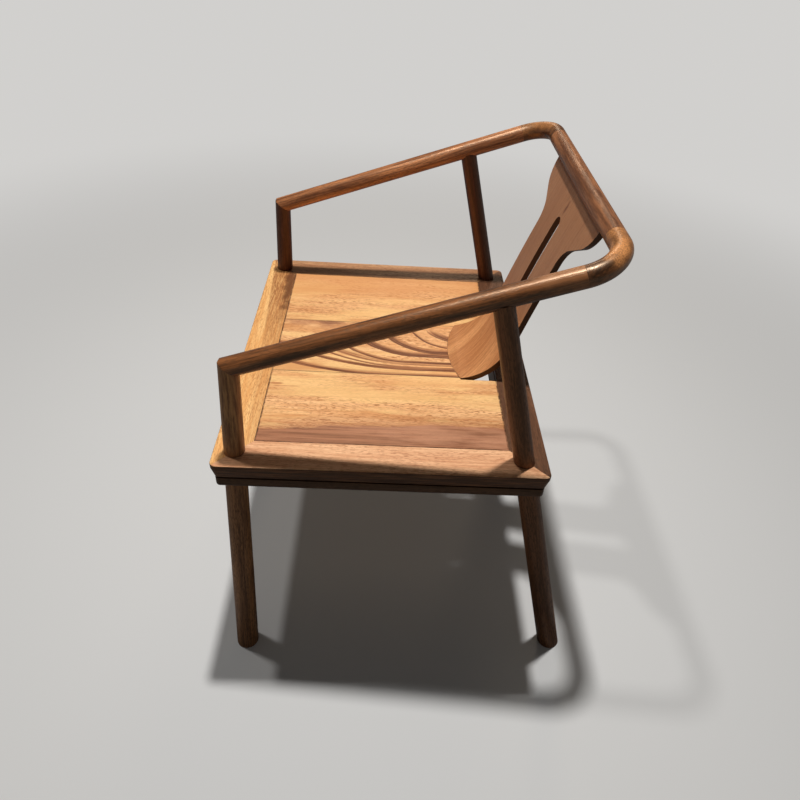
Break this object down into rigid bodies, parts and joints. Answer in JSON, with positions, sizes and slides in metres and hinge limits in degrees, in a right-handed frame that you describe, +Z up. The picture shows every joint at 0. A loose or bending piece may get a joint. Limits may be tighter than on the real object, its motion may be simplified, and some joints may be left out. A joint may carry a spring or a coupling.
{
  "type": "horseshoe back armchair",
  "caption": "Low wooden armchair with a sloping horseshoe rail, straight posts that run through a mitred seat frame, a flush board seat and a bent, slotted splat.",
  "frame": {"origin": "on the floor, midway between the front of the front feet and the back of the back feet, in the middle of the chair's width", "axes": "+Z up; the chair faces -Y; +X is the sitter's left"},
  "size_m": [0.6442, 0.5864, 0.766],
  "materials": {
    "post_wood": "satin oil, dark brown",
    "arm_wood": "satin oil, red brown",
    "bend_wood": "satin oil, dark brown",
    "splat_wood": "satin oil, mid brown",
    "frame_wood": "satin oil, golden brown",
    "band_wood": "satin oil, dark brown",
    "board_wood": "satin oil, golden",
    "inner_wood": "plain planed wood",
    "screw_steel": "plain"
  },
  "bodies": {
    "root": {"front_left_post": "post_wood", "front_right_post": "post_wood", "back_left_post": "post_wood", "back_right_post": "post_wood", "left_arm": "arm_wood", "right_arm": "arm_wood", "left_bend": "bend_wood", "right_bend": "bend_wood", "top_rail": "arm_wood", "back_splat": "splat_wood", "seat_front_rail": "frame_wood", "seat_back_rail": "frame_wood", "seat_left_rail": "frame_wood", "seat_right_rail": "frame_wood", "under_front_rail": "band_wood", "under_back_rail": "band_wood", "under_left_rail": "band_wood", "under_right_rail": "band_wood", "seat_board_right": "board_wood", "seat_board_centre": "board_wood", "seat_board_left": "board_wood", "front_batten": "inner_wood", "rear_batten": "inner_wood", "seat_mitre_keys": "inner_wood", "arm_mitre_dowels": "inner_wood", "arm_bend_dowels": "inner_wood", "rail_bend_dowels": "inner_wood", "under_rail_screws": "screw_steel", "splat_screws": "screw_steel"}
  },
  "joints": []
}
